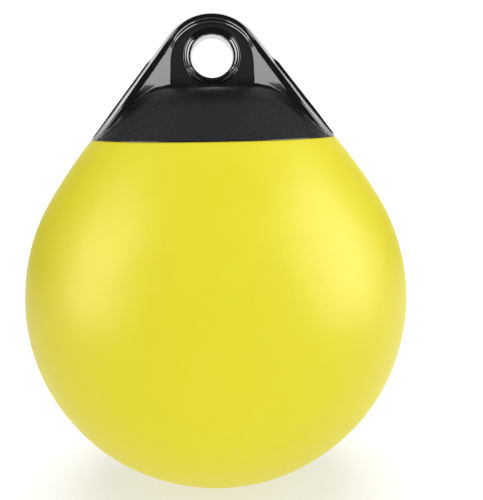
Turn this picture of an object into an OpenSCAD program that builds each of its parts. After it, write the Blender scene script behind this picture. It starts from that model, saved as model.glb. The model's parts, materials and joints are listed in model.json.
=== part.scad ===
// Inflatable mooring buoy: a round float with a moulded rope-eye end and an air valve.
// Millimetres. Z runs up the axis of the float, and the eye looks along Y.
// The origin is on the axis at the waterline of the free floating buoy.
// Heights in the list below are measured from the bottom of the ball.

/* [Float ball] */
// Diameter of the inflated ball
ball_d = 300; // [200:1:400]
// Thickness of the skin of the ball
ball_wall = 3.4; // [2:0.1:8]
// Latitude where the ball leaves the sphere and runs up to the neck
neck_latitude = 31; // [20:0.5:45]
// Height of the seam between the ball and the eye end
seam_z = 276; // [240:0.5:300]
// Radius of the seam
seam_r = 93.7; // [70:0.1:120]
// Depth of the ball in the water when it floats free
draft = 58; // [40:0.5:150]

/* [Lap joint under the seam] */
// Height of the spigot that the eye end is bonded over
lap_h = 6; // [5:0.5:6.5]
// Thickness of the skirt of the eye end over the lap
skirt = 2.6; // [1.5:0.1:4]
// Thickness of the spigot of the ball
spigot = 2.8; // [1.5:0.1:4]
// Glue line between the skirt and the spigot
glue = 0.1; // [0.05:0.05:0.4]

/* [Shoulder] */
// Height of the top of the shoulder
dome_z = 314.5; // [300:0.5:325]
// Radius of the slightly domed top of the shoulder
dome_top_r = 700; // [300:10:1500]
// Radius of the rounding between the top and the cone
dome_round = 40; // [10:0.5:50]
// Slope of the cone from the seam up to the rounding
cone_angle = 46; // [35:0.5:55]
// Thickness of the shoulder
dome_wall = 5.5; // [3:0.1:10]

/* [Eye lug] */
// Height of the centre of the eye
eye_z = 336.5; // [320:0.5:360]
// Radius of the bore of the eye
eye_r = 15.8; // [8:0.1:22]
// Length of the straight wall of the bore
eye_len = 40; // [20:0.5:60]
// Radial thickness of the inner bead of the collar
bead_in = 2.5; // [1:0.1:5]
// Radial thickness of the outer bead of the collar
bead_out = 2.6; // [1:0.1:5]
// Half length of the straight part of the outer bead
bead_y = 19; // [15:0.1:25]
// Height of the centre of the rounded apex of the lug
apex_z = 328.4; // [310:0.1:350]
// Radius of the rounded apex of the lug, at the parting plane
apex_r = 41.6; // [30:0.1:60]
// Angle of the legs of the lug from the vertical
leg_angle = 38.2; // [25:0.1:50]
// Draft of the sides of the lug, in mm for each mm from the parting plane
side_draft = 0.16; // [0.02:0.01:0.3]
// Half depth of the rim around the eye
rim_y = 20; // [12:0.1:30]
// Half depth of the rim at the seam
foot_y = 39.5; // [36:0.5:42]
// Height under which the lug is of even depth
foot_z = 300.5; // [296:0.5:306]
// Height where the rim starts to widen towards the seam
flare_z = 346; // [310:1:360]
// Radius of the inside of the rim above the eye
rim_in_r = 34.6; // [28:0.1:38]
// Height of the centre of the inside of the rim
rim_in_z = 329.5; // [320:0.1:340]
// Angle of the inside of the rim from the vertical, along the legs
rim_in_angle = 35; // [25:0.5:45]
// Half thickness of the flat web around the eye
web_y = 17.6; // [8:0.1:19]
// Half width of the flat web around the eye
web_x = 31; // [24:0.5:45]
// Angle of the walls that rise from the web to the rim
wall_angle = 31; // [15:0.5:50]
// Half thickness of the parting flange along the legs
flange_y = 0.9; // [0.5:0.1:2]
// Height of the parting flange above the sides of the legs
flange_h = 1.7; // [0.5:0.1:4]

/* [Air valve] */
// Distance of the valve from the axis, on the cone at the back of the shoulder
valve_y = 79; // [77:0.5:81]
// Diameter of the flange of the valve seat
seat_flange_d = 24; // [18:0.5:32]
// Thickness of the flange of the valve seat
seat_flange_t = 3; // [1.5:0.1:5]
// Depth that the flange is let into the shoulder
seat_sunk = 1.6; // [0.8:0.1:2.5]
// Diameter of the stem of the valve seat
seat_stem_d = 12; // [11:0.5:13]
// Length of the stem of the valve seat under its flange
seat_stem_l = 15; // [8:0.5:25]
// Diameter of the head of the screw plug
plug_head_d = 12; // [8:0.5:16]
// Thickness of the head of the screw plug
plug_head_t = 3; // [2:0.1:5]
// Depth of the recess that the head sits in
plug_recess = 1.8; // [1:0.1:2.5]
// Diameter of the shank of the screw plug
plug_shank_d = 6; // [4:0.1:8]
// Length of the shank of the screw plug
plug_shank_l = 11; // [6:0.5:20]
// Width of the driver slot
slot_w = 1.6; // [0.8:0.1:3]
// Depth of the driver slot
slot_d = 1.4; // [0.5:0.1:2]
// Clearance around the shank in its bore
plug_clear = 0.1; // [0.05:0.01:0.3]

/* [Hidden] */
$fn = 96;
ball_r = ball_d / 2;
// where the shoulder of the ball leaves the sphere
neck0_r = ball_r * cos(neck_latitude);
neck0_z = ball_r + ball_r * sin(neck_latitude);
// the arc that is tangent there and passes through the seam
chord_r = seam_r - neck0_r;
chord_z = seam_z - neck0_z;
neck_arc_r = (chord_r * chord_r + chord_z * chord_z)
    / (2 * (-chord_r * cos(neck_latitude) - chord_z * sin(neck_latitude)));
neck_arc_x = neck0_r - neck_arc_r * cos(neck_latitude);
neck_arc_z = neck0_z - neck_arc_r * sin(neck_latitude);
// the rounding is tangent to the top of the shoulder and to the cone
dome_c = dome_z - dome_top_r;
cone_n = [sin(cone_angle), cos(cone_angle)];
cone_d = cone_n.x * seam_r + cone_n.y * seam_z;
dome_a = cone_angle - acos((cone_d - dome_round - cone_n.y * dome_c) / (dome_top_r - dome_round));
round_x = (dome_top_r - dome_round) * sin(dome_a);
round_z = dome_c + (dome_top_r - dome_round) * cos(dome_a);
valve_z = (cone_d - cone_n.x * valve_y) / cone_n.y;
collar_m = eye_r + bead_in;
big = 400;

// everything is drawn from the bottom of the ball and set down on the waterline
module afloat() {
    translate([0, 0, -draft]) children();
}

// ---- float ball -------------------------------------------------------

// half section of the ball, drawn in by t from its outside: the sphere below the
// line where the two arcs meet, and the arc of the neck above it
module ball_section(t) {
    k = big * tan(neck_latitude);
    union() {
        intersection() {
            translate([0, ball_r]) circle(r = ball_r - t);
            polygon([[0, -10], [big, -10], [big, ball_r + k], [0, ball_r]]);
        }
        intersection() {
            translate([neck_arc_x, neck_arc_z]) circle(r = neck_arc_r - t);
            polygon([[0, ball_r], [big, ball_r + k], [big, 2 * big], [0, 2 * big]]);
            translate([0, -10]) square([big, seam_z + 10]);
        }
    }
}

// ring inside the neck that carries the spigot, and the spigot itself
module neck_section() {
    low = 3;
    s_out = skirt + glue;
    s_in = s_out + spigot;
    polygon([
        [neck0_r - 20.5, neck0_z + 24], [neck0_r - 18, neck0_z + 24],
        [seam_r - 2, seam_z], [cone_x(seam_z, s_in), seam_z]
    ]);
    polygon([
        [cone_x(seam_z - low, s_in), seam_z - low], [cone_x(seam_z - low, s_out + 1.2), seam_z - low],
        [cone_x(seam_z - 0.2, s_out), seam_z - 0.2], [cone_x(seam_z + lap_h, s_out), seam_z + lap_h],
        [cone_x(seam_z + lap_h, s_in), seam_z + lap_h]
    ]);
}

module float_ball() {
    color("gold") afloat() rotate_extrude() union() {
        difference() {
            ball_section(0);
            ball_section(ball_wall);
        }
        neck_section();
    }
}

// ---- rope-eye end -----------------------------------------------------

// distance from the axis of the cone of the shoulder at height z, drawn in by t
function cone_x(z, t) = (cone_d - t - cone_n.y * z) / cone_n.x;

// distance of the leg of the lug from the axis at height z, at the parting plane
function leg_x(z) = (apex_r - (z - apex_z) * sin(leg_angle)) / cos(leg_angle);

// the plane of the eye, extruded to half depth d on both sides
module upright(d) {
    rotate([90, 0, 0]) linear_extrude(height = 2 * d, center = true) children();
}

// everything on the inner side of the drafted plane of one leg
module inside_leg() {
    n = norm([1, side_draft]);
    translate([0, 0, apex_z])
        rotate([0, -asin(sin(leg_angle) / n), atan2(-side_draft, cos(leg_angle))])
            translate([apex_r / n - 2 * big, -big, -big]) cube(2 * big);
}

// everything under the line where the leg runs into the rounded apex
module under_apex() {
    translate([0, 0, apex_z + apex_r * sin(leg_angle)])
        rotate([atan(side_draft * sin(leg_angle)), 0, 0])
            translate([-big, -big, -2 * big]) cube(2 * big);
}

// the legs of the lug, to depth d on both sides, drawn in by the draft
module lug_legs(d) {
    intersection() {
        translate([-big, -d, seam_z]) cube([2 * big, 2 * d, big]);
        inside_leg();
        mirror([1, 0, 0]) inside_leg();
        mirror([0, 1, 0]) inside_leg();
        rotate([0, 0, 180]) inside_leg();
        under_apex();
        mirror([0, 1, 0]) under_apex();
    }
}

// the rounded apex of the lug, to depth d on both sides
module lug_apex(d) {
    r = apex_r + 0.3;
    t = d * side_draft;
    translate([0, 0, apex_z]) rotate([90, 0, 0]) rotate_extrude()
        polygon([[0, -d], [r - t, -d], [r, 0], [r - t, d], [0, d]]);
}

// depth of the lug seen from the side: even at the eye, wider under it, even again at the seam
module side_profile() {
    top_z = apex_z + apex_r + 5;
    polygon([
        [-foot_y, seam_z], [foot_y, seam_z], [foot_y, foot_z], [rim_y, flare_z],
        [rim_y, top_z], [-rim_y, top_z], [-rim_y, flare_z], [-foot_y, foot_z]
    ]);
}

// thin flange along a leg, where the halves of the mould met
module parting_flange() {
    z0 = seam_z + 5;
    z1 = apex_z + 9;
    a = [leg_x(z0), z0];
    b = [leg_x(z1), z1];
    c = norm(b - a);
    r = c * c / (8 * flange_h) + flange_h / 2;
    m = (a + b) / 2 - (r - flange_h) * [cos(leg_angle), sin(leg_angle)];
    for (s = [0, 1]) mirror([s, 0, 0]) upright(flange_y) intersection() {
        translate(m) circle(r = r);
        polygon([a - [6, 4], a + [4, -2], b + [5, 3], b - [4, 3]]);
    }
}

module lug_block() {
    intersection() {
        union() {
            lug_legs(foot_y + 5);
            lug_apex(foot_y + 5);
            parting_flange();
        }
        rotate([90, 0, 90]) linear_extrude(height = 2 * big, center = true) side_profile();
        translate([0, 0, seam_z + 0.1]) cylinder(r = seam_r - 0.2, h = 120);
    }
}

// inside of the rim in the plane of the eye
module rim_inside() {
    x1 = web_x;
    z1 = rim_in_z + sqrt(rim_in_r * rim_in_r - x1 * x1);
    x0 = x1 + (z1 - seam_z + 10) * tan(rim_in_angle);
    translate([0, rim_in_z]) circle(r = rim_in_r);
    polygon([[-x0, seam_z - 10], [x0, seam_z - 10], [x1, z1], [-x1, z1]]);
}

// the front and back are hollowed out inside the rim, down to the flat web,
// with walls that rise from the web to the rim at an angle
module lug_pockets() {
    run = 80;
    for (a = [0, 180]) rotate([0, 0, a]) intersection() {
        upright(90) rim_inside();
        translate([0, 0, seam_z - 10]) linear_extrude(height = 150) polygon([
            [-web_x, -web_y],
            [-web_x - run, -web_y - run * tan(wall_angle)],
            [web_x + run, -web_y - run * tan(wall_angle)],
            [web_x, -web_y]
        ]);
    }
}

// collar around the bore, two rounded beads from front to back
module eye_collar() {
    translate([0, 0, eye_z]) rotate([90, 0, 0]) rotate_extrude() union() {
        translate([eye_r, -eye_len / 2]) square([bead_in, eye_len]);
        translate([eye_r + bead_in - 0.4, -bead_y]) square([bead_out + 0.4, 2 * bead_y]);
        for (s = [-1, 1]) {
            translate([eye_r + bead_in / 2, s * eye_len / 2]) circle(r = bead_in / 2);
            translate([eye_r + bead_in + bead_out / 2, s * bead_y]) circle(r = bead_out / 2);
        }
    }
}

// half section of the shoulder, drawn in by t from its outside: the domed top, the
// rounding and the cone, each between the lines where it meets the next
module dome_section(t) {
    f = [round_x, round_z];
    u = [sin(dome_a), cos(dome_a)];
    base = min(seam_z, round_z) - 10;
    low = seam_z - (t > 0 ? 1 : 0);
    intersection() {
        union() {
            intersection() {
                translate([0, dome_c]) circle(r = dome_top_r - t);
                polygon([[0, base], [f.x, base], f, f + 100 * u, [0, round_z + 100]]);
            }
            intersection() {
                translate(f) circle(r = dome_round - t);
                polygon([f, f + 100 * cone_n, f + 200 * (cone_n + u), f + 100 * u]);
            }
            polygon([[f.x, base], [cone_x(base, t), base], f + (dome_round - t) * cone_n, f]);
        }
        translate([0, low]) square([big, big]);
    }
}

// air space under the shoulder, with the step for the lap joint
module shoulder_space() {
    rotate_extrude() union() {
        intersection() {
            dome_section(skirt);
            translate([0, seam_z - 1]) square([big, lap_h + 2]);
        }
        dome_section(dome_wall);
    }
}

// places the valve on the back of the shoulder, its axis square to the cone
module at_valve() {
    translate([0, valve_y, valve_z]) rotate([-cone_angle, 0, 0]) children();
}

module eye_end() {
    color([0.12, 0.12, 0.13]) afloat() union() {
        difference() {
            union() {
                rotate_extrude() dome_section(0);
                difference() {
                    lug_block();
                    lug_pockets();
                }
            }
            shoulder_space();
            translate([0, 0, eye_z]) rotate([90, 0, 0])
                cylinder(r = collar_m, h = 200, center = true);
            at_valve() {
                translate([0, 0, -seat_sunk]) cylinder(d = seat_flange_d + 0.2, h = 20);
                translate([0, 0, -30]) cylinder(d = seat_stem_d + 0.1, h = 60);
            }
        }
        eye_collar();
    }
}

// ---- air valve --------------------------------------------------------

module valve_seat() {
    color([0.2, 0.2, 0.21]) afloat() at_valve() translate([0, 0, -seat_sunk]) difference() {
        union() {
            cylinder(d = seat_flange_d, h = seat_flange_t);
            translate([0, 0, -seat_stem_l]) cylinder(d = seat_stem_d, h = seat_stem_l);
        }
        translate([0, 0, -seat_stem_l - 1])
            cylinder(d = plug_shank_d + 2 * plug_clear, h = seat_stem_l + 20);
        translate([0, 0, seat_flange_t - plug_recess])
            cylinder(d = plug_head_d + 0.8, h = 20);
    }
}

module valve_plug() {
    color([0.85, 0.84, 0.8]) afloat() at_valve()
        translate([0, 0, seat_flange_t - seat_sunk - plug_recess]) difference() {
            union() {
                cylinder(d = plug_head_d, h = plug_head_t);
                translate([0, 0, -plug_shank_l]) cylinder(d = plug_shank_d, h = plug_shank_l + 1);
            }
            translate([-20, -slot_w / 2, plug_head_t - slot_d]) cube([40, slot_w, 10]);
        }
}

float_ball();
eye_end();
valve_seat();
valve_plug();
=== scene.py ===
import json
import math

import bmesh
import bpy
import numpy as np
from mathutils import Matrix, Vector

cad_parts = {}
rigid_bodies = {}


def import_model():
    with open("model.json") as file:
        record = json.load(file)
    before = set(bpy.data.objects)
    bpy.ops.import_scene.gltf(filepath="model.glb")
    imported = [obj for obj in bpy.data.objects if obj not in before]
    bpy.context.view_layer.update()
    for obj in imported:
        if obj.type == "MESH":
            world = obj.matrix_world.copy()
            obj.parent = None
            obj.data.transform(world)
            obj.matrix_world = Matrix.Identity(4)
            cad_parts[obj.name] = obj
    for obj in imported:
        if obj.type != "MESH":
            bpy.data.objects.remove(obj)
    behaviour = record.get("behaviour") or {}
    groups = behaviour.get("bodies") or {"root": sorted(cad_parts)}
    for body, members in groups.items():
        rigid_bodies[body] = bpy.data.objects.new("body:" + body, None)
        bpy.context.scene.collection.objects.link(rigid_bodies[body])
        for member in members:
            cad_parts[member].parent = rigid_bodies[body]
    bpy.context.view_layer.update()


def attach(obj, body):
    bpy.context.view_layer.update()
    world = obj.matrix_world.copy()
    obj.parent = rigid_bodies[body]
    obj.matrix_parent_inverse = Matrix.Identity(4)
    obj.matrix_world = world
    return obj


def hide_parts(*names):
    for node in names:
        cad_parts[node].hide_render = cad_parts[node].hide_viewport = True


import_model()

# Sizes in millimetres, heights from the bottom of the ball, as in the construction.
DRAFT = 58.0
BALL_R = 150.0
NECK_LAT = math.radians(31.0)
SEAM_Z, SEAM_R = 276.0, 93.7
DOME_Z, DOME_TOP_R, DOME_ROUND = 314.5, 700.0, 40.0
CONE = math.radians(46.0)
EYE_Z, EYE_R, EYE_LEN = 336.5, 15.8, 40.0
BEAD_IN, BEAD_OUT, BEAD_Y = 2.5, 2.6, 19.0
APEX_Z, APEX_R, LEG = 328.4, 41.6, math.radians(38.2)
SIDE_DRAFT, RIM_Y, FOOT_Y, FOOT_Z, FLARE_Z = 0.16, 19.4, 39.5, 300.5, 342.5
RIM_IN_R, RIM_IN_Z, RIM_IN_LEG = 34.6, 329.5, math.radians(35.0)
WEB_Y, WEB_X, WALL = 17.6, 31.0, math.radians(31.0)
PART_Y, PART_H = 1.6, 1.3
VALVE_TILT, VALVE_Y = CONE, 79.0
FLANGE_D, FLANGE_T, FLANGE_SUNK = 24.0, 3.0, 1.6
HEAD_D, HEAD_T, RECESS = 12.0, 3.0, 1.8
SHANK_D, SHANK_L, SLOT_W, SLOT_D = 6.0, 11.0, 1.6, 1.4

# arcs of the neck of the ball and of the dome, tangent where they meet
N0R, N0Z = BALL_R * math.cos(NECK_LAT), BALL_R + BALL_R * math.sin(NECK_LAT)
_dr, _dz = SEAM_R - N0R, SEAM_Z - N0Z
NECK_R = (_dr * _dr + _dz * _dz) / (2 * (-_dr * math.cos(NECK_LAT) - _dz * math.sin(NECK_LAT)))
NECK_CX, NECK_CZ = N0R - NECK_R * math.cos(NECK_LAT), N0Z - NECK_R * math.sin(NECK_LAT)
# the rounding of the shoulder is tangent to its top and to its cone
DOME_C = DOME_Z - DOME_TOP_R
CONE_NR, CONE_NZ = math.sin(CONE), math.cos(CONE)
CONE_D = CONE_NR * SEAM_R + CONE_NZ * SEAM_Z
DOME_A = CONE - math.acos((CONE_D - DOME_ROUND - CONE_NZ * DOME_C) / (DOME_TOP_R - DOME_ROUND))
ROUND_X = (DOME_TOP_R - DOME_ROUND) * math.sin(DOME_A)
ROUND_Z = DOME_C + (DOME_TOP_R - DOME_ROUND) * math.cos(DOME_A)
VALVE_Z = (CONE_D - CONE_NR * VALVE_Y) / CONE_NZ


def metres(p):
    """Points in millimetres from the bottom of the ball to metres from the waterline."""
    p = np.asarray(p, dtype=np.float64)
    return (p - np.array([0.0, 0.0, DRAFT])) * 0.001


# ---------------------------------------------------------------- shape of the eye end

def smin(a, b, k):
    h = np.clip(0.5 + 0.5 * (b - a) / k, 0.0, 1.0)
    return b + (a - b) * h - k * h * (1.0 - h)


def smax(a, b, k):
    return -smin(-a, -b, k)


def step(a, b, x):
    t = np.clip((x - a) / (b - a), 0.0, 1.0)
    return t * t * (3.0 - 2.0 * t)


def wave(x, y, z, scale, seed):
    """Smooth, slow unevenness, as a moulding shows it: a few crossed waves."""
    s = 2.0 * math.pi / scale
    return (
        np.sin(s * (0.92 * x + 0.31 * y + 0.27 * z) + seed)
        * np.sin(s * (-0.25 * x + 0.88 * z + 0.4 * y) + 1.7 * seed)
        + 0.6 * np.sin(s * 1.7 * (0.5 * x - 0.7 * y + 0.52 * z) + 2.3 * seed)
    ) / 1.6


def outline(x, z):
    """Distance to the outline of the lug in the plane of the eye."""
    px, pz = np.abs(x), z - APEX_Z
    along = px * math.sin(LEG) - pz * math.cos(LEG)
    leg = px * math.cos(LEG) + pz * math.sin(LEG) - APEX_R
    tip = np.sqrt(px * px + pz * pz) - APEX_R
    return np.where(along < 0.0, tip, leg)


def rim_inside(x, z):
    """Distance to the inside of the rim in the plane of the eye."""
    ax = np.abs(x)
    ring = np.sqrt(ax * ax + (z - RIM_IN_Z) ** 2) - RIM_IN_R
    z1 = RIM_IN_Z + math.sqrt(RIM_IN_R ** 2 - WEB_X ** 2)
    leg = (ax - WEB_X) * math.cos(RIM_IN_LEG) + (z - z1) * math.sin(RIM_IN_LEG)
    leg = smax(leg, z - z1 - 3.0, 4.0)
    return smin(ring, leg, 1.5)


def shoulder(r, z):
    """Distance to the domed top, the rounding and the cone of the shoulder."""
    top = np.sqrt(r * r + (z - DOME_C) ** 2) - DOME_TOP_R
    dr, dz = r - ROUND_X, z - ROUND_Z
    rounded = np.sqrt(dr * dr + dz * dz) - DOME_ROUND
    cone = r * CONE_NR + z * CONE_NZ - CONE_D
    over = dr * math.cos(DOME_A) - dz * math.sin(DOME_A) < 0.0
    under = dr * CONE_NZ - dz * CONE_NR > 0.0
    return np.where(over, top, np.where(under, cone, rounded))


def eye_end(x, y, z):
    ay = np.abs(y)
    ax = np.abs(x)
    r = np.sqrt(x * x + y * y)
    line = outline(x, z)
    # the lug: drafted sides, rims that widen towards the seam
    draft = SIDE_DRAFT + 0.025 * step(322.0, 340.0, z) - 0.06 * step(350.0, 367.0, z)
    sides = (line + draft * np.sqrt(ay * ay + 0.2)) / math.sqrt(1.0 + SIDE_DRAFT ** 2)
    slope = (FOOT_Y - RIM_Y) / (FLARE_Z - FOOT_Z)
    depth = RIM_Y + slope * smax(FLARE_Z - z, np.zeros_like(z), 10.0)
    depth = smin(depth, np.full_like(z, FOOT_Y), 8.0)
    faces = (ay - depth) * math.cos(math.atan(slope))
    lug = smax(sides, faces, 2.0)
    lug = smax(lug, r - (SEAM_R + 0.1), 2.0)
    # hollowed front and back, down to the flat web
    rise = smax(ax - WEB_X, np.zeros_like(ax), 1.2) * math.tan(WALL)
    wall = (WEB_Y + rise - ay) * math.cos(WALL)
    rim = (rim_inside(x, z) + 1.1 * (depth - ay)) / 1.487
    pocket = smax(rim, wall, 0.7)
    lug = smax(lug, -pocket, 0.7)
    # the shoulder
    dome = shoulder(r, z)
    wide = (6.0 - 2.0 * step(30.0, 40.0, ax) - 0.6 * step(50.0, 66.0, ax)) * (1.0 - 0.94 * step(-15.0, -7.0, line + SIDE_DRAFT * ay))
    body = smin(lug, dome, wide)
    # hole for the collar of the eye
    rr = np.sqrt(x * x + (z - EYE_Z) ** 2)
    body = smax(body, EYE_R + 1.2 - rr, 0.4)
    # seat of the valve, under its flange
    cv, sv = math.cos(VALVE_TILT), math.sin(VALVE_TILT)
    along = y * sv + z * cv - CONE_D
    across = np.sqrt(x * x + ((y - VALVE_Y) * cv - (z - VALVE_Z) * sv) ** 2)
    hole = smax(across - 10.6, -12.8 - along, 0.5)
    body = np.where((y > 0.0) & (along < 8.0), smax(body, -hole, 0.5), body)
    # slow unevenness of a soft moulding
    body = body + 0.07 * wave(x, y, z, 34.0, 0.4) + 0.02 * wave(x, y, z, 13.0, 2.1)
    return body


def slope_of(f, p, e=0.05):
    g = np.empty_like(p)
    for k in range(3):
        d = np.zeros(3)
        d[k] = e
        a, b = p + d, p - d
        g[:, k] = (f(a[:, 0], a[:, 1], a[:, 2]) - f(b[:, 0], b[:, 1], b[:, 2])) / (2 * e)
    return g


def settle(f, p, rounds):
    for _ in range(rounds):
        g = slope_of(f, p)
        d = f(p[:, 0], p[:, 1], p[:, 2])
        n2 = np.maximum((g * g).sum(1), 0.05)
        p = p - (np.clip(d / n2, -0.6, 0.6))[:, None] * g
    return p


def skin_of(f, lo, hi, h):
    """Quads on the zero surface of f, one point to each cell that it crosses."""
    n = [int(round((b - a) / h)) + 1 for a, b in zip(lo, hi)]
    axes = [a + h * np.arange(k) for a, k in zip(lo, n)]
    vol = np.empty(n, dtype=np.float32)
    gx, gy = np.meshgrid(axes[0], axes[1], indexing="ij")
    for k, zz in enumerate(axes[2]):
        vol[:, :, k] = f(gx, gy, np.full_like(gx, zz))
    inside = vol < 0.0
    c = [inside[i:n[0] - 1 + i, j:n[1] - 1 + j, k:n[2] - 1 + k]
         for i in (0, 1) for j in (0, 1) for k in (0, 1)]
    count = sum(a.astype(np.int8) for a in c)
    ci, cj, ck = np.nonzero((count > 0) & (count < 8))
    ids = -np.ones([m - 1 for m in n], dtype=np.int64)
    ids[ci, cj, ck] = np.arange(len(ci))
    corners = [(i, j, k) for i in (0, 1) for j in (0, 1) for k in (0, 1)]
    vals = np.stack([vol[ci + i, cj + j, ck + k] for i, j, k in corners], 1).astype(np.float64)
    total = np.zeros((len(ci), 3))
    hits = np.zeros(len(ci))
    for a in range(8):
        for b in range(a + 1, 8):
            pa, pb = np.array(corners[a]), np.array(corners[b])
            if np.abs(pa - pb).sum() != 1:
                continue
            va, vb = vals[:, a], vals[:, b]
            m = (va < 0.0) != (vb < 0.0)
            t = np.where(m, va / np.where(m, va - vb, 1.0), 0.0)
            total += np.where(m[:, None], pa + t[:, None] * (pb - pa), 0.0)
            hits += m
    pts = np.stack([ci, cj, ck], 1) + total / hits[:, None]
    pts = np.array(lo) + h * pts
    quads = []
    for axis in range(3):
        u, v = (axis + 1) % 3, (axis + 2) % 3
        sl_a = [slice(1, m - 1) for m in n]
        sl_b = [slice(1, m - 1) for m in n]
        sl_a[axis] = slice(0, n[axis] - 1)
        sl_b[axis] = slice(1, n[axis])
        a, b = inside[tuple(sl_a)], inside[tuple(sl_b)]
        at = np.array(np.nonzero(a != b))
        flip = b[tuple(at)]
        base = at.copy()
        base[u] += 1
        base[v] += 1
        four = []
        for du, dv in ((-1, -1), (0, -1), (0, 0), (-1, 0)):
            q = base.copy()
            q[u] += du
            q[v] += dv
            four.append(ids[tuple(q)])
        four = np.stack(four, 1)
        four[flip] = four[flip][:, ::-1]
        quads.append(four)
    return pts, np.concatenate(quads)


def relax(f, pts, quads, rounds):
    """Even out the points along the surface, and put them back on it."""
    e = np.concatenate([quads[:, [i, (i + 1) % 4]] for i in range(4)])
    deg = np.bincount(e[:, 0], minlength=len(pts)) + np.bincount(e[:, 1], minlength=len(pts))
    for _ in range(rounds):
        s = np.zeros_like(pts)
        for k in range(3):
            s[:, k] = (np.bincount(e[:, 0], pts[e[:, 1], k], len(pts))
                       + np.bincount(e[:, 1], pts[e[:, 0], k], len(pts)))
        mean = s / deg[:, None]
        pts = settle(f, pts + 0.6 * (mean - pts), 1)
    return settle(f, pts, 2)


def new_object(name, verts, faces, smooth=True):
    me = bpy.data.meshes.new(name)
    me.from_pydata([tuple(v) for v in verts], [], [tuple(int(i) for i in q) for q in faces])
    me.update()
    me.polygons.foreach_set("use_smooth", [smooth] * len(me.polygons))
    ob = bpy.data.objects.new(name, me)
    bpy.context.scene.collection.objects.link(ob)
    return ob


def make_eye_end():
    pts, quads = skin_of(eye_end, (-97.0, -97.0, 271.0), (97.0, 97.0, 372.5), 0.9)
    pts = relax(eye_end, pts, quads, 3)
    ob = new_object("eye_end_moulding", pts, quads)
    bm = bmesh.new()
    bm.from_mesh(ob.data)
    bmesh.ops.bisect_plane(
        bm, geom=bm.verts[:] + bm.edges[:] + bm.faces[:], dist=1e-4,
        plane_co=(0, 0, SEAM_Z), plane_no=(0, 0, 1), clear_inner=True)
    bm.to_mesh(ob.data)
    bm.free()
    me = ob.data
    co = np.empty(len(me.vertices) * 3)
    me.vertices.foreach_get("co", co)
    co = co.reshape(-1, 3)
    g = slope_of(eye_end, co, 0.12)
    g /= np.linalg.norm(g, axis=1)[:, None]
    me.vertices.foreach_set("co", metres(co).ravel())
    me.polygons.foreach_set("use_smooth", [True] * len(me.polygons))
    me.update()
    me.normals_split_custom_set_from_vertices([tuple(v) for v in g])
    # the shoulder is satin, the lug is glossy
    away = np.abs(shoulder(np.hypot(co[:, 0], co[:, 1]), co[:, 2]))
    satin = me.attributes.new("satin", "FLOAT", "POINT")
    satin.data.foreach_set("value", (1.0 - step(0.4, 2.2, away)) * (1.0 + 1.2 * step(298.0, 310.0, co[:, 2])))
    # painted light and shade: the cone and the web get a lighter grey base colour; the rims and the upward-facing top
    # of the shoulder between them keep the near-black one, on the shoulder top as painted shade
    painted_light_tone = me.attributes.new("painted_light_tone", "FLOAT", "POINT")
    high = step(297.5, 309.0, co[:, 2])
    near = step(43.0, 50.0, np.abs(co[:, 1]))
    across = np.hypot(co[:, 0], np.maximum(co[:, 2] - 328.4, 0.0))
    web = 0.75 * (1.0 - step(29.5, 33.5, across)) * step(314.0, 322.0, co[:, 2])
    painted_light_tone.data.foreach_set("value", np.maximum(web, near * (1.0 - step(0.1, 1.4, away)) * (1.0 - high)))
    return ob


# ---------------------------------------------------------------- turned pieces

def lathe(name, profile, angles, place=None, shape=None):
    """Turn a profile of (radius, height) around Z; a radius of 0 closes it in a point."""
    verts, rows = [], []
    n = len(angles)
    ca, sa = np.cos(angles), np.sin(angles)
    for r, z in profile:
        if r <= 1e-9:
            rows.append([len(verts)] * n)
            verts.append((0.0, 0.0, z))
        else:
            rows.append(list(range(len(verts), len(verts) + n)))
            verts.extend(zip(r * ca, r * sa, [z] * n))
    faces = []
    for a, b in zip(rows[:-1], rows[1:]):
        for i in range(n):
            j = (i + 1) % n
            q = []
            for k in (a[i], a[j], b[j], b[i]):
                if k not in q:
                    q.append(k)
            if len(q) > 2:
                faces.append(q)
    v = np.array(verts)
    if shape is not None:
        v = shape(v)
    if place is not None:
        v = place(v)
    return new_object(name, metres(v), faces)


def arc(cx, cz, r, a0, a1, n):
    """Points on an arc, angles in degrees from the radius towards the axis."""
    return [(cx + r * math.cos(math.radians(a0 + (a1 - a0) * i / n)),
             cz + r * math.sin(math.radians(a0 + (a1 - a0) * i / n))) for i in range(n + 1)]


def ball_profile():
    low = [(BALL_R * math.cos(t), BALL_R + BALL_R * math.sin(t))
           for t in np.linspace(-math.pi / 2, NECK_LAT, 132)]
    low[0] = (0.0, 0.0)
    top = math.atan2(SEAM_Z - NECK_CZ, SEAM_R - NECK_CX)
    neck = [(NECK_CX + NECK_R * math.cos(t), NECK_CZ + NECK_R * math.sin(t))
            for t in np.linspace(NECK_LAT, top, 34)[1:]]
    # the spigot inside the skirt of the eye end
    lap = [(SEAM_R - 2.9, SEAM_Z + 0.0)]
    for z in (277.0, 278.5, 280.0, 281.9):
        lap.append(((CONE_D - 2.8 - CONE_NZ * z) / CONE_NR, z))
    return low + neck + lap


def ball_shape(v):
    """An inflated skin isn't turned: slow unevenness, and the parting line of the mould."""
    d = v - np.array([0.0, 0.0, BALL_R])
    n = d / np.maximum(np.linalg.norm(d, axis=1), 1e-6)[:, None]
    free = step(SEAM_Z + 2.0, SEAM_Z - 25.0, v[:, 2])
    bump = 0.22 * wave(v[:, 0], v[:, 1], v[:, 2], 120.0, 0.9) * free * step(2.0, 30.0, v[:, 2])
    line = 0.32 * np.exp(-(v[:, 1] / 0.75) ** 2) * step(SEAM_Z - 0.4, SEAM_Z - 2.0, v[:, 2])
    return v + n * (bump + line)[:, None]


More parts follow.
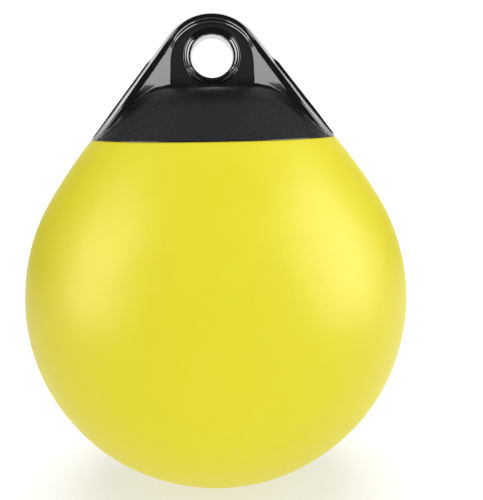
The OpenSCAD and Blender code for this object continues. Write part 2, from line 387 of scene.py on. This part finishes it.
def make_ball():
    fine = np.radians([-1.6, -1.1, -0.75, -0.5, -0.25, 0.0, 0.25, 0.5, 0.75, 1.1, 1.6])
    a = np.linspace(0.0, 2.0 * math.pi, 240, endpoint=False)
    near = np.minimum(np.abs(np.sin(a)), 1.0) < math.sin(math.radians(1.9))
    a = np.concatenate([a[~near], fine, fine + math.pi])
    a = np.sort(np.mod(a, 2.0 * math.pi))
    return lathe("float_ball_skin", ball_profile(), a, shape=ball_shape)


def at_valve(v):
    c, s = math.cos(VALVE_TILT), math.sin(VALVE_TILT)
    v = np.asarray(v, dtype=np.float64)
    x, y, z = v[:, 0], v[:, 1], v[:, 2]
    return np.stack([x, VALVE_Y + y * c + z * s, VALVE_Z - y * s + z * c], 1)


def make_seat():
    t = FLANGE_T - FLANGE_SUNK
    f = FLANGE_D / 2.0
    rec = HEAD_D / 2.0 + 0.4
    b = SHANK_D / 2.0 + 0.15
    p = [(b, t - RECESS - 9.0), (b, t - RECESS - 0.5)]
    p += [(b + 0.1, t - RECESS - 0.15), (b + 0.45, t - RECESS)]
    p += [(rec - 0.5, t - RECESS), (rec - 0.1, t - RECESS + 0.1), (rec, t - RECESS + 0.5)]
    p += [(rec, t - 0.5)] + [(rec + 0.45 - 0.45 * math.cos(math.radians(d)), t - 0.45 + 0.45 * math.sin(math.radians(d)))
                            for d in (15, 40, 65, 90)]
    # a shallow ring groove on the flange, then its rounded edge
    p += [(8.3, t), (8.6, t - 0.06), (8.8, t - 0.28), (9.05, t - 0.36), (9.3, t - 0.28), (9.5, t - 0.06), (9.8, t)]
    p += [(f - 1.3 + 1.3 * math.sin(math.radians(d)), t - 1.3 + 1.3 * math.cos(math.radians(d)))
          for d in (0, 15, 30, 45, 60, 75, 90)]
    p += [(f, -0.6), (f - 0.15, -1.2), (f - 0.6, -FLANGE_SUNK)]
    a = np.linspace(0.0, 2.0 * math.pi, 96, endpoint=False)
    ob = lathe("valve_seat_ring", p, a, place=at_valve)
    for poly in ob.data.polygons:
        poly.use_smooth = True
    return ob


def make_plug():
    base = FLANGE_T - FLANGE_SUNK - RECESS
    r, top = HEAD_D / 2.0, HEAD_T
    bm = bmesh.new()
    # head: turned body with a soft crown, cut by the driver slot
    prof = [(0.0, 0.05), (SHANK_D / 2.0, 0.05), (r - 0.35, 0.05), (r - 0.1, 0.15), (r, 0.45)]
    prof += [(r, top - 1.0)] + [(r - 0.9 + 0.9 * math.cos(math.radians(d)), top - 1.0 + 0.85 * math.sin(math.radians(d)))
                                for d in (18, 36, 54, 72, 90)]
    prof += [(r * 0.6, top - 0.06), (r * 0.3, top - 0.02), (0.0, top)]
    n = 120
    rings = []
    for pr, pz in prof:
        if pr == 0.0:
            rings.append([bm.verts.new((0.0, 0.0, pz))] * n)
            continue
        ring = []
        for i in range(n):
            a = 2.0 * math.pi * i / n
            ring.append(bm.verts.new((pr * math.cos(a), pr * math.sin(a), pz)))
        rings.append(ring)
    for a, b in zip(rings[:-1], rings[1:]):
        for i in range(n):
            j = (i + 1) % n
            q = []
            for v in (a[i], a[j], b[j], b[i]):
                if v not in q:
                    q.append(v)
            bm.faces.new(q)
    me = bpy.data.meshes.new("valve_plug_screw")
    bm.to_mesh(me)
    bm.free()
    ob = bpy.data.objects.new("valve_plug_screw", me)
    bpy.context.scene.collection.objects.link(ob)
    # driver slot
    cut = bmesh.new()
    bmesh.ops.create_cube(cut, size=1.0, matrix=Matrix.Translation((0, 0, top - SLOT_D + 5.0)) @ Matrix.Diagonal((40.0, SLOT_W, 10.0, 1.0)))
    cme = bpy.data.meshes.new("slot_cut")
    cut.to_mesh(cme)
    cut.free()
    cob = bpy.data.objects.new("slot_cut", cme)
    bpy.context.scene.collection.objects.link(cob)
    mod = ob.modifiers.new("slot", "BOOLEAN")
    mod.operation, mod.solver, mod.object = "DIFFERENCE", "EXACT", cob
    bev = ob.modifiers.new("edges", "BEVEL")
    bev.width, bev.segments, bev.limit_method, bev.angle_limit = 0.14, 2, "ANGLE", math.radians(40)
    dg = bpy.context.evaluated_depsgraph_get()
    flat = bpy.data.meshes.new_from_object(ob.evaluated_get(dg))
    ob.modifiers.clear()
    ob.data = flat
    bpy.data.objects.remove(cob)
    # threaded shank, a true helix
    bm = bmesh.new()
    bm.from_mesh(flat)
    pitch, m, rows = 1.25, 48, 110
    grid = []
    for k in range(rows + 1):
        zz = 0.1 - SHANK_L * k / rows
        ring = []
        for i in range(m):
            a = 2.0 * math.pi * i / m
            ph = (zz / pitch - a / (2.0 * math.pi)) % 1.0
            tooth = abs(2.0 * ph - 1.0)
            fade = min(1.0, max(0.0, (zz + SHANK_L) / 1.0)) * min(1.0, max(0.0, (-0.9 - zz) / 0.6))
            rad = SHANK_D / 2.0 - 0.62 * (1.0 - tooth) * fade - 0.12 - 0.75 * max(0.0, 1.0 - (zz + SHANK_L) / 0.9)
            ring.append(bm.verts.new((rad * math.cos(a), rad * math.sin(a), zz)))
        grid.append(ring)
    for a, b in zip(grid[:-1], grid[1:]):
        for i in range(m):
            j = (i + 1) % m
            bm.faces.new((a[i], b[i], b[j], a[j]))
    bm.faces.new(list(reversed(grid[-1])))
    bmesh.ops.recalc_face_normals(bm, faces=bm.faces[:])
    bm.to_mesh(flat)
    bm.free()
    co = np.empty(len(flat.vertices) * 3)
    flat.vertices.foreach_get("co", co)
    co = co.reshape(-1, 3)
    co[:, 2] += base
    flat.vertices.foreach_set("co", metres(at_valve(co)).ravel())
    flat.update()
    flat.polygons.foreach_set("use_smooth", [True] * len(flat.polygons))
    flat.set_sharp_from_angle(angle=math.radians(38))
    return ob


def make_collar():
    """Collar of the eye: two rounded beads around the bore, and a small fillet on the web."""
    h = 0.5 * EYE_LEN
    half = arc(EYE_R + 0.8, h, 0.8, 180, 95, 8)
    half += [(EYE_R + 0.9, h + 0.8), (EYE_R + 1.55, h + 0.8), (EYE_R + 1.72, h + 0.77)]
    half += [(EYE_R + 1.9, h + 0.66), (EYE_R + 2.8, h - 0.02), (EYE_R + 2.95, h - 0.17)]
    half += [(EYE_R + 3.0, h - 0.3), (EYE_R + 3.1, h - 0.34), (EYE_R + 3.65, h - 0.34), (EYE_R + 3.82, h - 0.38)]
    half += [(EYE_R + 4.0, h - 0.5), (EYE_R + 4.95, h - 1.24), (EYE_R + 5.06, h - 1.42), (EYE_R + 5.1, h - 1.6)]
    edge = EYE_R + BEAD_IN + BEAD_OUT
    half += arc(edge + 0.7, WEB_Y + 0.7, 0.7, 180, 270, 6) + [(edge + 1.1, WEB_Y - 0.35)]
    prof = [(EYE_R, w) for w in np.linspace(0.5 * EYE_LEN, -0.5 * EYE_LEN, 12)]
    prof = list(reversed(half)) + prof[1:-1] + [(r, -w) for r, w in half]

    def place(v):
        return np.stack([v[:, 0], -v[:, 2], EYE_Z + v[:, 1]], 1)

    return lathe("eye_end_collar", prof, np.linspace(0.0, 2.0 * math.pi, 168, endpoint=False), place=place)


def make_edge():
    """Thin edge left by the mould along the lower legs, dying out at its upper end."""
    verts, faces = [], []
    nx, nz = math.cos(LEG), math.sin(LEG)
    h, c = PART_Y, 0.3
    for side in (-1.0, 1.0):
        rows = []
        high = PART_H if side > 0 else PART_H - 0.6
        for z in np.linspace(SEAM_Z + 1.2, 336.5, 48):
            p = high * float((1.0 - 0.3 * step(296.0, 279.0, z)) * step(336.5, 331.5, z)) - 0.15
            x = (APEX_R - (z - APEX_Z) * nz) / nx
            ring = [(-1.6, -h), (p - c, -h), (p - 0.4 * c, -h + 0.12 * c), (p - 0.12 * c, -h + 0.4 * c), (p, -h + c)]
            ring += [(n, -w) for n, w in reversed(ring)]
            rows.append(list(range(len(verts), len(verts) + len(ring))))
            verts += [(side * (x + n * nx), w, z + n * nz) for n, w in ring]
        for a, b in zip(rows[:-1], rows[1:]):
            for i in range(len(a) - 1):
                q = (a[i], a[i + 1], b[i + 1], b[i])
                faces.append(q if side > 0 else q[::-1])
    ob = new_object("eye_end_edge", metres(np.array(verts)), faces)
    ob.data.set_sharp_from_angle(angle=math.radians(35))
    return ob


def make_lip():
    """Rounded lower edge of the eye end, where it closes on the ball."""
    p = arc(SEAM_R - 0.15, SEAM_Z + 0.28, 0.42, -150, 90, 12)
    a = np.linspace(0.0, 2.0 * math.pi, 240, endpoint=False)
    return lathe("eye_end_lip", p, a)


# ---------------------------------------------------------------- materials

def material(name):
    m = bpy.data.materials.new(name)
    m.use_nodes = True
    nt = m.node_tree
    nt.nodes.clear()
    out = nt.nodes.new("ShaderNodeOutputMaterial")
    bsdf = nt.nodes.new("ShaderNodeBsdfPrincipled")
    nt.links.new(bsdf.outputs["BSDF"], out.inputs["Surface"])
    co = nt.nodes.new("ShaderNodeTexCoord")
    return m, nt, bsdf, co.outputs["Object"]


def noise(nt, vec, scale, detail=2.0, rough=0.5, distortion=0.0):
    n = nt.nodes.new("ShaderNodeTexNoise")
    n.inputs["Scale"].default_value = scale
    n.inputs["Detail"].default_value = detail
    n.inputs["Roughness"].default_value = rough
    n.inputs["Distortion"].default_value = distortion
    nt.links.new(vec, n.inputs["Vector"])
    return n.outputs["Fac"]


def ramp(nt, fac, stops):
    n = nt.nodes.new("ShaderNodeValToRGB")
    els = n.color_ramp.elements
    while len(els) < len(stops):
        els.new(0.5)
    for e, (p, c) in zip(els, stops):
        e.position = p
        e.color = c if len(c) == 4 else (*c, 1.0)
    nt.links.new(fac, n.inputs["Fac"])
    return n.outputs["Color"]


def span(nt, fac, lo, hi, a=0.0, b=1.0):
    n = nt.nodes.new("ShaderNodeMapRange")
    n.inputs["From Min"].default_value = lo
    n.inputs["From Max"].default_value = hi
    n.inputs["To Min"].default_value = a
    n.inputs["To Max"].default_value = b
    nt.links.new(fac, n.inputs["Value"])
    return n.outputs["Result"]


def maths(nt, op, a, b):
    n = nt.nodes.new("ShaderNodeMath")
    n.operation = op
    for i, v in enumerate((a, b)):
        if isinstance(v, (int, float)):
            n.inputs[i].default_value = v
        else:
            nt.links.new(v, n.inputs[i])
    return n.outputs[0]


def mix(nt, fac, a, b):
    n = nt.nodes.new("ShaderNodeMix")
    n.data_type = "RGBA"
    for sock, v in (("Factor", fac), ("A", a), ("B", b)):
        s = next(i for i in n.inputs if i.name == sock and i.enabled)
        if isinstance(v, tuple):
            s.default_value = (*v, 1.0)
        elif isinstance(v, (int, float)):
            s.default_value = v
        else:
            nt.links.new(v, s)
    return next(o for o in n.outputs if o.enabled)


def bump(nt, bsdf, height, strength, distance):
    n = nt.nodes.new("ShaderNodeBump")
    n.inputs["Strength"].default_value = strength
    n.inputs["Distance"].default_value = distance
    nt.links.new(height, n.inputs["Height"])
    nt.links.new(n.outputs["Normal"], bsdf.inputs["Normal"])


def yellow_vinyl():
    m, nt, b, co = material("yellow_vinyl_skin")
    cloud = noise(nt, co, 7.0, 4.0, 0.55)
    mottle = noise(nt, co, 60.0, 3.0, 0.6)
    tone = maths(nt, "ADD", maths(nt, "MULTIPLY", cloud, 0.65), maths(nt, "MULTIPLY", mottle, 0.35))
    col = ramp(nt, tone, [(0.30, (0.824, 0.724, 0.022)), (0.50, (0.838, 0.744, 0.027)), (0.70, (0.850, 0.760, 0.033))])
    specks = span(nt, noise(nt, co, 420.0, 2.0, 0.5), 0.70, 0.78, 0.0, 0.22)
    nt.links.new(mix(nt, specks, col, (0.70, 0.60, 0.05)), b.inputs["Base Color"])
    smear = noise(nt, co, 16.0, 5.0, 0.62, 0.6)
    nt.links.new(span(nt, smear, 0.30, 0.72, 0.37, 0.46), b.inputs["Roughness"])
    b.inputs["IOR"].default_value = 1.5
    b.inputs["Specular IOR Level"].default_value = 0.18
    peel = maths(nt, "ADD", noise(nt, co, 260.0, 2.0, 0.5), maths(nt, "MULTIPLY", noise(nt, co, 1400.0, 2.0, 0.5), 0.35))
    bump(nt, b, peel, 0.22, 0.00022)
    return m


def black_vinyl(name="black_vinyl_moulding", specular=0.42, dull=1.0):
    m, nt, b, co = material(name)
    cloud = noise(nt, co, 24.0, 4.0, 0.6)
    col = ramp(nt, cloud, [(0.32, (0.0075, 0.0073, 0.0085)), (0.70, (0.0135, 0.0130, 0.0150))])
    dust = span(nt, noise(nt, co, 700.0, 2.0, 0.6), 0.58, 0.76, 0.0, 0.48)
    col = mix(nt, dust, col, (0.045, 0.044, 0.046))
    # painted light: the base colour is mixed to a lighter grey by the mesh attribute set on the cone and the web, so
    # the near-black top of the shoulder reads as painted shade
    painted_light_tone = nt.nodes.new("ShaderNodeAttribute")
    painted_light_tone.attribute_name = "painted_light_tone"
    painted_light_grey = ramp(nt, cloud, [(0.32, (0.0325, 0.0308, 0.0340)), (0.70, (0.0355, 0.0337, 0.0370))])
    nt.links.new(mix(nt, painted_light_tone.outputs["Fac"], col, painted_light_grey), b.inputs["Base Color"])
    smear = noise(nt, co, 38.0, 5.0, 0.65, 0.8)
    fine = noise(nt, co, 700.0, 2.0, 0.5)
    rough = maths(nt, "ADD", span(nt, smear, 0.30, 0.72, 0.06 * dull, 0.12 * dull), span(nt, fine, 0.35, 0.75, 0.0, 0.05 * dull))
    satin = nt.nodes.new("ShaderNodeAttribute")
    satin.attribute_name = "satin"
    rough = maths(nt, "ADD", rough, maths(nt, "MULTIPLY", satin.outputs["Fac"], 0.15))
    nt.links.new(rough, b.inputs["Roughness"])
    b.inputs["IOR"].default_value = 1.5
    b.inputs["Specular IOR Level"].default_value = specular
    peel = maths(nt, "ADD", noise(nt, co, 190.0, 2.0, 0.5), maths(nt, "MULTIPLY", noise(nt, co, 900.0, 3.0, 0.6), 0.4))
    bump(nt, b, peel, 0.16, 0.00018)
    return m


def valve_rubber():
    m, nt, b, co = material("valve_seat_rubber")
    cloud = noise(nt, co, 180.0, 4.0, 0.6)
    nt.links.new(ramp(nt, cloud, [(0.3, (0.020, 0.020, 0.021)), (0.7, (0.034, 0.033, 0.034))]), b.inputs["Base Color"])
    nt.links.new(span(nt, noise(nt, co, 320.0, 3.0, 0.6), 0.3, 0.7, 0.42, 0.62), b.inputs["Roughness"])
    bump(nt, b, noise(nt, co, 1500.0, 3.0, 0.6), 0.25, 0.0001)
    return m


def plug_nylon():
    m, nt, b, co = material("valve_plug_nylon")
    cloud = noise(nt, co, 140.0, 4.0, 0.55)
    nt.links.new(ramp(nt, cloud, [(0.3, (0.63, 0.61, 0.54)), (0.7, (0.75, 0.73, 0.67))]), b.inputs["Base Color"])
    nt.links.new(span(nt, noise(nt, co, 420.0, 3.0, 0.6), 0.3, 0.7, 0.32, 0.5), b.inputs["Roughness"])
    bump(nt, b, noise(nt, co, 1100.0, 3.0, 0.6), 0.2, 0.0001)
    return m


def put(ob, mat, body, slot, *nodes):
    ob.data.materials.clear()
    ob.data.materials.append(mat)
    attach(ob, body)
    if nodes:
        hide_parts(*nodes)


black = black_vinyl()
put(make_eye_end(), black, "buoy", "black_vinyl", "eye_end")
put(make_collar(), black_vinyl("black_vinyl_worn_smooth", 0.85, 0.55), "buoy", "black_vinyl")
put(make_edge(), black, "buoy", "black_vinyl")
put(make_lip(), black, "buoy", "black_vinyl")
put(make_ball(), yellow_vinyl(), "buoy", "yellow_vinyl", "float_ball")
put(make_seat(), valve_rubber(), "buoy", "valve_rubber", "valve_seat")
put(make_plug(), plug_nylon(), "plug", "plug_nylon", "valve_plug")


# ---------------------------------------------------------------- studio

def plain(name, color, rough, strength=0.0):
    m = bpy.data.materials.new(name)
    m.use_nodes = True
    b = m.node_tree.nodes["Principled BSDF"]
    b.inputs["Base Color"].default_value = (*color, 1.0)
    b.inputs["Roughness"].default_value = rough
    b.inputs["Specular IOR Level"].default_value = 0.2
    if strength:
        b.inputs["Emission Color"].default_value = (1.0, 1.0, 1.0, 1.0)
        b.inputs["Emission Strength"].default_value = strength
    return m


FLOOR = -DRAFT * 0.001 - 0.0002


def make_sweep():
    """Pale floor, and a lit backdrop behind it."""
    prof = [(y, 0.0) for y in (-2.4, -1.0, 0.0, 1.0, 1.9)]
    bend = [(1.9 + 0.5 * math.sin(t), 0.5 - 0.5 * math.cos(t)) for t in np.linspace(0.0, math.pi / 2, 14)]
    for name, line, mat in (
        ("studio_floor", prof, plain("studio_floor_white", (0.34, 0.34, 0.34), 0.8, 0.54)),
        ("studio_wall", bend + [(2.4, 1.6), (2.4, 3.2)], plain("studio_wall_white", (0.2, 0.2, 0.2), 0.8, 0.86)),
    ):
        verts, faces = [], []
        for y, z in line:
            verts += [(-1.5, y, FLOOR + z), (1.5, y, FLOOR + z)]
        for i in range(len(line) - 1):
            faces.append((2 * i, 2 * i + 1, 2 * i + 3, 2 * i + 2))
        ob = new_object(name, verts, faces)
        ob.data.materials.append(mat)
    # white surround outside the sweep, seen by the camera only
    n, r = 72, 3.2
    ring = [(r * math.cos(2 * math.pi * i / n), r * math.sin(2 * math.pi * i / n)) for i in range(n)]
    verts = [(x, y, FLOOR - 0.004) for x, y in ring] + [(x, y, FLOOR + 4.0) for x, y in ring]
    faces = [(i, (i + 1) % n, n + (i + 1) % n, n + i) for i in range(n)] + [tuple(range(n))]
    ob = new_object("studio_surround", verts, faces)
    ob.data.materials.append(plain("studio_surround_white", (0.1, 0.1, 0.1), 0.9, 1.05))
    ob.visible_diffuse = ob.visible_glossy = ob.visible_transmission = False
    ob.visible_volume_scatter = ob.visible_shadow = False


def area(name, loc, target, size, power, shape="RECTANGLE", glossy=True, diffuse=True):
    l = bpy.data.lights.new(name, "AREA")
    l.shape = shape
    l.size, l.size_y = size
    l.energy = power
    ob = bpy.data.objects.new(name, l)
    ob.location = loc
    ob.rotation_euler = (Vector(target) - Vector(loc)).to_track_quat("-Z", "Y").to_euler()
    ob.visible_camera = False
    ob.visible_glossy = glossy
    ob.visible_diffuse = diffuse
    bpy.context.scene.collection.objects.link(ob)
    return ob


make_sweep()
area("box_right", (1.04, -0.30, 0.54), (0.0, 0.0, 0.30), (0.90, 1.20), 29.5, diffuse=False)
area("box_left", (-1.00, -0.38, 0.54), (0.0, 0.0, 0.30), (0.70, 1.20), 22.5, diffuse=False)
cards = [
    area("low_right", (0.41, -0.15, FLOOR + 0.01), (0.41, -0.15, 1.0), (0.24, 0.44), 4.0, diffuse=False),
    area("low_left", (-0.39, -0.15, FLOOR + 0.01), (-0.39, -0.15, 1.0), (0.24, 0.44), 3.8, diffuse=False),
]
bpy.data.objects["studio_floor"].visible_diffuse = False
area("floor_bounce", (0.0, 0.0, FLOOR + 0.002), (0.0, 0.0, 1.0), (3.0, 3.0), 18.0, glossy=False)
wash = area("floor_wash", (0.0, 0.25, 2.0), (0.0, 0.25, 0.0), (2.2, 2.2), 62.0, glossy=False)
ground = bpy.data.collections.new("lit_floor")
ground.objects.link(bpy.data.objects["studio_floor"])
wash.light_linking.receiver_collection = ground
cap = bpy.data.collections.new("lit_by_cards")
for ob in bpy.data.objects:
    if ob.name in ("eye_end_moulding", "eye_end_collar"):
        cap.objects.link(ob)
cards += [
    area("front_right", (0.42, -0.50, FLOOR + 0.01), (0.42, -0.50, 1.0), (0.58, 0.42), 11.0, diffuse=False),
    area("front_left", (-0.42, -0.50, FLOOR + 0.01), (-0.42, -0.50, 1.0), (0.58, 0.42), 11.0, diffuse=False),
]
for ob in cards:
    ob.light_linking.receiver_collection = cap
area("front_fill", (0.10, -2.0, 1.3), (0.0, 0.0, 0.1), (2.6, 2.0), 28.2, glossy=False)
area("side_fill", (1.9, 0.45, 0.7), (0.0, 0.0, 0.1), (1.4, 1.4), 9.5, glossy=False)
top = area("top_wash", (0.0, 0.75, 2.3), (0.0, 0.65, 0.0), (2.8, 2.8), 36.0, glossy=False)
rest = bpy.data.collections.new("lit_from_above")
for ob in bpy.data.objects:
    if ob.type == "MESH" and not ob.name.startswith("eye_end_"):
        rest.objects.link(ob)
top.light_linking.receiver_collection = rest

world = bpy.data.worlds.new("studio")
world.use_nodes = True
world.node_tree.nodes["Background"].inputs["Color"].default_value = (1.0, 1.0, 1.0, 1.0)
world.node_tree.nodes["Background"].inputs["Strength"].default_value = 0.30
world.cycles_visibility.glossy = False
scene = bpy.context.scene
scene.world = world
scene.view_settings.view_transform = "Standard"
scene.view_settings.look = "None"
scene.view_settings.exposure = 0.0

# camera at the photograph's angle: 483 x 500, focal length in pixels of the frame
FOCAL = 864.0
PITCH, ROLL = math.radians(9.5), math.radians(0.9)
YAW = math.atan(25.9 / FOCAL)
cam = bpy.data.cameras.new("camera")
cam.sensor_fit = "VERTICAL"
cam.sensor_height = 36.0
cam.lens = FOCAL / 500.0 * 36.0
cam.clip_start, cam.clip_end = 0.01, 50.0
eye = bpy.data.objects.new("camera", cam)
eye.location = (0.0, -0.680, 0.300 - DRAFT * 0.001)
eye.rotation_euler = (
    Matrix.Rotation(-YAW, 4, "Z") @ Matrix.Rotation(math.pi / 2 - PITCH, 4, "X") @ Matrix.Rotation(-ROLL, 4, "Z")
).to_euler()
scene.collection.objects.link(eye)
scene.camera = eye
